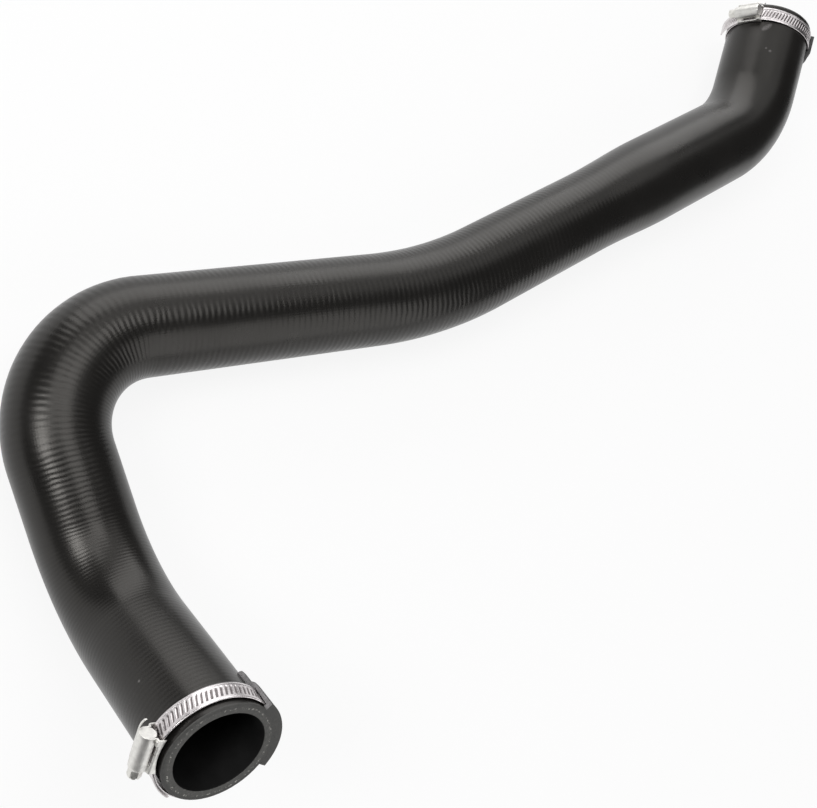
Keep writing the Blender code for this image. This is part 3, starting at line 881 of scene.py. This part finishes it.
housing_steel = plated_steel(
    "housing_steel", (0.66, 0.65, 0.62), (0.80, 0.79, 0.76), (0.90, 0.89, 0.85), (0.36, 0.54), 500.0
)
for label, clamp, inner, _ in CLAMPS:
    blind = HOUSING_LENGTH / 2
    far = BARREL_RADIUS + LIP_STANDOFF
    top = inner + SCREW_HEIGHT + LIP_HEIGHT
    shell = housing_shell(label, clamp, inner)
    lip_path = [(top - LIP_START_DROP, -LIP_HALF, far), (top, 0.0, far), (top, LIP_HALF, far)]
    for step in range(1, HOOK_STEPS + 1):
        angle = math.radians(HOOK_TURN) * step / HOOK_STEPS
        drop, reach = HOOK_DROP * (1 - math.cos(angle)), HOOK_REACH * math.sin(angle)
        lip_path.append((top - drop, LIP_HALF + reach, far))
    parts_of_housing = [
        ring_wall(label + "_head_wall", clamp, inner, -blind + END_WALL / 2, NECK_RADIUS + RUNNING_GAP),
        ring_wall(label + "_blind_wall", clamp, inner, blind - END_WALL / 2, 0.0),
        bent_strip(label + "_far_lip", clamp, lip_path, LIP_WIDTH, LIP_SHEET),
        rounded_block(
            label + "_folded_tab", clamp, (inner + TAB_FOOT, TAB_START, -SKIRT_HALF_WIDTH - TAB_PROUD),
            (inner + TAB_TOP, TAB_END, -BARREL_RADIUS - TAB_INSET), TAB_ROUNDING,
        ),
    ]
    for piece in parts_of_housing:
        piece.data.materials.append(housing_steel)
        piece.parent = shell
    shell.data.materials.append(housing_steel)
    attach(shell, "hose_assembly")
    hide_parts(label + "_clamp_housing")

# Clamp screws: turned and rolled from plated steel wire, with a worm that works in the band's thread.
# The hexagon head has a slot and a washer face under it, and the far end is a plain nose.
COLLAR_RADIUS = 0.0043
COLLAR_THICKNESS = 0.0009
HEX_ACROSS_FLATS = 0.007
HEX_HEIGHT = 0.0052
HEX_CHAMFER = 0.0008
SLOT_WIDTH = 0.0012
SLOT_DEPTH = 0.0014
NOSE_CLEARANCE = 0.0004
NOSE_CHAMFER = 0.0003
EDGE_BREAK = 0.0002
WORM_DEPTH = 0.0007
WORM_RUNOUT = 0.0015
WORM_FLANK = 2.2
WORM_ROOT = 0.6
ROWS_PER_TURN = 12
SCREW_SIDES = 48
WALL_INNER = HOUSING_LENGTH / 2 - END_WALL
WORM_HALF = WALL_INNER - RUNNING_GAP
COLLAR_START = HOUSING_LENGTH / 2 + RUNNING_GAP
HEAD_BASE = COLLAR_START + COLLAR_THICKNESS
HEAD_TOP = HEAD_BASE + HEX_HEIGHT


def hexagon_radius(angle):
    """Distance from the axis to the hexagon's side at an angle."""
    beside = (angle + math.pi / 6) % (math.pi / 3) - math.pi / 6
    return HEX_ACROSS_FLATS / 2 / math.cos(beside)


def cut_out(piece, name, shape, place):
    """Cuts a shape, set at a place, out of the piece."""
    mesh = bpy.data.meshes.new(name + "_tool")
    shape.to_mesh(mesh)
    shape.free()
    tool = bpy.data.objects.new(name + "_tool", mesh)
    bpy.context.scene.collection.objects.link(tool)
    tool.matrix_world = place
    cut = piece.modifiers.new(name, "BOOLEAN")
    cut.operation = "DIFFERENCE"
    cut.solver = "EXACT"
    cut.object = tool
    baked(piece)
    bpy.data.objects.remove(tool, do_unlink=True)


def worm_screw(label, axis):
    """Nose, worm, neck, washer face and chamfered head as one mesh round the screw's own Z.

    A row holds its height, its kind, and a radius, or for the hexagon its share of the chamfer.
    """
    nose_end = -WALL_INNER + NOSE_CLEARANCE
    rows = [
        (nose_end, "plain", 0.0), (nose_end, "plain", NECK_RADIUS - NOSE_CHAMFER),
        (nose_end + NOSE_CHAMFER, "plain", NECK_RADIUS), (-WORM_HALF, "plain", NECK_RADIUS),
        (-WORM_HALF, "plain", WORM_RADIUS - WORM_DEPTH),
    ]
    turns = round(2 * WORM_HALF / THREAD_PITCH * ROWS_PER_TURN)
    rows += [(-WORM_HALF + 2 * WORM_HALF * step / turns, "worm", 0.0) for step in range(1, turns)]
    rows += [
        (WORM_HALF, "plain", WORM_RADIUS - WORM_DEPTH), (WORM_HALF, "plain", NECK_RADIUS),
        (COLLAR_START, "plain", NECK_RADIUS), (COLLAR_START, "plain", COLLAR_RADIUS - EDGE_BREAK),
        (COLLAR_START + EDGE_BREAK, "plain", COLLAR_RADIUS),
        (HEAD_BASE - EDGE_BREAK, "plain", COLLAR_RADIUS),
        (HEAD_BASE, "plain", COLLAR_RADIUS - EDGE_BREAK), (HEAD_BASE, "hexagon", 0.0),
        (HEAD_TOP - HEX_CHAMFER, "hexagon", 0.0), (HEAD_TOP - HEX_CHAMFER * 0.66, "hexagon", 0.34),
        (HEAD_TOP - HEX_CHAMFER * 0.33, "hexagon", 0.67), (HEAD_TOP, "hexagon", 1.0),
        (HEAD_TOP, "plain", 0.0),
    ]
    corner = HEX_ACROSS_FLATS / math.sqrt(3)
    chamfered = corner - HEX_ACROSS_FLATS / 2 + EDGE_BREAK
    points = []
    for height, kind, radius in rows:
        for side in range(SCREW_SIDES):
            angle = math.tau * side / SCREW_SIDES
            reach = radius
            if kind == "worm":
                phase = (height / THREAD_PITCH - side / SCREW_SIDES) % 1.0
                crest = min(max(WORM_FLANK * abs(2 * phase - 1) - WORM_ROOT, 0.0), 1.0)
                faded = smooth(0.0, WORM_RUNOUT, WORM_HALF - abs(height))
                reach = WORM_RADIUS - WORM_DEPTH + WORM_DEPTH * crest * faded
            elif kind == "hexagon":
                reach = min(hexagon_radius(angle), corner - radius * chamfered)
            points.append((reach * math.cos(angle), reach * math.sin(angle), height))
    faces = rows_joined(len(rows), SCREW_SIDES)
    screw = welded(mesh_piece(label + "_worm_screw", points, faces))
    slot_size = Matrix.Diagonal((SLOT_WIDTH, 4 * HEX_ACROSS_FLATS, 2 * SLOT_DEPTH, 1))
    slot = bmesh.new()
    bmesh.ops.create_cube(slot, size=1.0, matrix=Matrix.Translation((0, 0, HEAD_TOP)) @ slot_size)
    cut_out(screw, "slot", slot, Matrix.Identity(4))
    screw.data.transform(axis)
    return settle(screw, 28.0)


screw_steel = plated_steel(
    "screw_steel", (0.62, 0.61, 0.57), (0.78, 0.77, 0.73), (0.88, 0.87, 0.83), (0.28, 0.46), 600.0
)
for label, clamp, inner, _ in CLAMPS:
    height = inner + SCREW_HEIGHT
    axis = clamp @ Matrix.Translation((height, 0, 0)) @ Matrix.Rotation(math.pi / 2, 4, "X")
    screw = worm_screw(label, axis)
    screw.data.materials.append(screw_steel)
    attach(screw, label + "_screw")
    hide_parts(label + "_clamp_screw")

# Keepers: a moulded rubber loop bonded to each end of the hose, flush with its cut face.
# The band passes through the loop, which keeps the clamp on the hose before it is fitted.
# The loop is a thick block at the mouth and steps down to a thin tongue behind the band.
KEEPER_THICKNESS = 0.0043
LOWER_KEEPER_LENGTH = 0.030
UPPER_KEEPER_LENGTH = 0.024
KEEPER_BLOCK_LENGTH = 0.0175
KEEPER_STEPS = 64
KEEPER_TAIL_THICKNESS = 0.0026
KEEPER_TIP_THICKNESS = 0.0016
KEEPER_END_SINK = (0.0, 0.00006, 0.0002)
KEEPER_END_LEAN = (0.0, 0.15, 0.22)
KEEPER_FACE_DEPTH = 0.15
TUNNEL_CLEARANCE = 0.0003
TUNNEL_SIDES = 240
BOND_DEPTH = 0.0002


def keeper_profile(hose_radius, length):
    """Outline along the hose: distance from the mouth, then radius."""
    top, tail, tip = KEEPER_THICKNESS, KEEPER_TAIL_THICKNESS, KEEPER_TIP_THICKNESS
    block = KEEPER_BLOCK_LENGTH
    outline = [
        (0.0, 0.0), (0.0, top * 0.3), (0.0, top * 0.6), (0.0, top - 0.0003), (0.0001, top - 0.0001),
        (0.0004, top), (0.0060, top), (0.0110, top), (block - 0.0015, top), (block - 0.0003, top - 0.00015),
        (block + 0.0006, top - 0.0006), (block + 0.0015, top - 0.0012), (block + 0.0027, tail + 0.0001),
        (block + 0.0037, tail), (length - 0.0022, tail), (length - 0.0010, tail - 0.0002),
        (length - 0.0003, tip - 0.0001), (length, tip - 0.0006), (length, -BOND_DEPTH),
        (0.0004, -BOND_DEPTH),
    ]
    return [(distance, hose_radius + height) for distance, height in outline]


def keeper_loop(label, mouth, clamp, inner, hose_radius, length, start_angle, span, slanted):
    """Swept block with rounded ends and the tunnel for the band; its face is cut with the hose's."""
    profile = keeper_profile(hose_radius, length)
    points, finishes = [], []
    count = len(profile)
    rounded_off = len(KEEPER_END_SINK) - 1
    slant = CUT_SLANT if slanted else 0.0
    for step in range(-rounded_off, KEEPER_STEPS + rounded_off + 1):
        share = min(max(step / KEEPER_STEPS, 0.0), 1.0)
        beyond = max(-step, step - KEEPER_STEPS, 0)
        outwards = math.copysign(1, span) * math.copysign(1, step - KEEPER_STEPS / 2)
        lean = KEEPER_END_LEAN[beyond] * outwards
        angle = math.radians(start_angle + span * share + lean)
        for distance, radius in profile:
            radius = max(radius - KEEPER_END_SINK[beyond], min(radius, hose_radius))
            offset = slant * radius * math.sin(angle) * (1 - smooth(0.0, CUT_SLANT_REACH, distance))
            across, aside = radius * math.cos(angle), radius * math.sin(angle)
            points.append(mouth @ Vector((across, aside, distance - offset)))
    rows = KEEPER_STEPS + 2 * rounded_off
    for row in range(rows):
        finishes += [1, 1, 1] + [0] * (count - 3)
    faces = rows_joined(rows + 1, count)
    faces += [tuple(range(count)), tuple(range(rows * count, (rows + 1) * count))]
    # The lower keeper's end faces get the pale grey with painted light on their lit sides.
    finishes += [2, 2] if slanted else [0, 0]
    keeper = mesh_piece(label + "_rubber_keeper", points, faces)
    for finish in (keeper_rubber, cut_rubber, trimmed_rubber_painted_light):
        keeper.data.materials.append(finish)
    keeper.data.polygons.foreach_set("material_index", finishes)
    settle(keeper)
    tunnel = bmesh.new()
    radius = inner + BAND_THICKNESS + TUNNEL_CLEARANCE
    bmesh.ops.create_cone(tunnel, cap_ends=True, segments=TUNNEL_SIDES, radius1=radius, radius2=radius,
                          depth=BAND_WIDTH + 2 * TUNNEL_CLEARANCE)
    cut_out(keeper, "tunnel", tunnel, clamp)
    point_values(keeper, "depth", [KEEPER_FACE_DEPTH] * len(keeper.data.vertices))
    return settle(keeper, 35.0)


keeper_rubber, nodes, links, shader = new_finish("keeper_rubber")
links.new(colour_ramp(nodes, links, noise_node(nodes, links, 160.0, 4.0, 0.6), (
    (0.30, (0.014, 0.014, 0.014)),
    (0.60, (0.020, 0.020, 0.020)),
    (0.82, (0.034, 0.033, 0.032)),
)), shader.inputs["Base Color"])
haze = noise_node(nodes, links, 240.0, 3.0)
links.new(range_node(nodes, links, haze, 0.2, 0.8, 0.42, 0.58), shader.inputs["Roughness"])
normal = bump_node(nodes, links, noise_node(nodes, links, 1200.0, 3.0, 0.6), 0.00005, 0.5)
normal = bump_node(nodes, links, noise_node(nodes, links, 140.0, 2.0), 0.0003, 0.35, normal)
links.new(normal, shader.inputs["Normal"])

# Painted light: the lower keeper's end faces are painted pale grey to stand in for the light on their lit
# sides; the mottle is random tone.
trimmed_rubber_painted_light, nodes, links, shader = new_finish("trimmed_rubber_painted_light")
face_mottle = noise_node(nodes, links, 480.0, 4.0, 0.65)
links.new(colour_ramp(nodes, links, face_mottle, (
    (0.30, (0.130, 0.125, 0.126)),
    (0.55, (0.200, 0.193, 0.195)),
    (0.80, (0.290, 0.280, 0.284)),
)), shader.inputs["Base Color"])
links.new(range_node(nodes, links, face_mottle, 0.2, 0.8, 0.80, 0.60), shader.inputs["Roughness"])
links.new(bump_node(nodes, links, face_mottle, 0.0002, 0.6), shader.inputs["Normal"])

KEEPERS = (
    # mouth's frame, hose's radius, keeper's length, side it lies on, whether the cut face slants
    (lower_mouth, LOWER_RADIUS, LOWER_KEEPER_LENGTH, 1, True),
    (upper_mouth, UPPER_RADIUS, UPPER_KEEPER_LENGTH, -1, False),
)
for (label, clamp, inner, _), (mouth, hose_radius, length, side, slanted) in zip(CLAMPS, KEEPERS):
    keeper = keeper_loop(
        label, mouth, clamp, inner, hose_radius, length, side * KEEPER_START, side * KEEPER_SPAN, slanted
    )
    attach(keeper, "hose_assembly")
    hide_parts(label + "_keeper")
